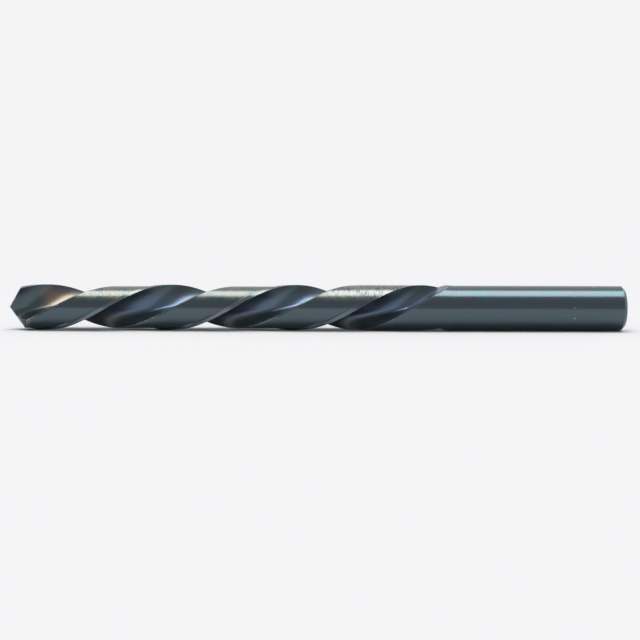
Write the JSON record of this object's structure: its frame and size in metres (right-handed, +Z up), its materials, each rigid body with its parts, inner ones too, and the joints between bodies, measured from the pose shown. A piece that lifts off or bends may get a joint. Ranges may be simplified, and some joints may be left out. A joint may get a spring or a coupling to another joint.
{
  "type": "twist drill bit",
  "caption": "Left-hand straight-shank twist drill of jobber length in black-oxide high speed steel, for drilling metal, lying on its side.",
  "frame": {"origin": "on the ground, under the middle of the drill's length", "axes": "+X along the drill's axis from the point to the shank, +Z up from the ground it lies on"},
  "size_m": [0.1238, 0.0092, 0.0091],
  "materials": {
    "black_oxide_steel": "ground high speed steel with a semi-gloss blue-black oxide, worn bright along its edges"
  },
  "bodies": {
    "root": {"twist_drill": "black_oxide_steel"}
  },
  "joints": []
}
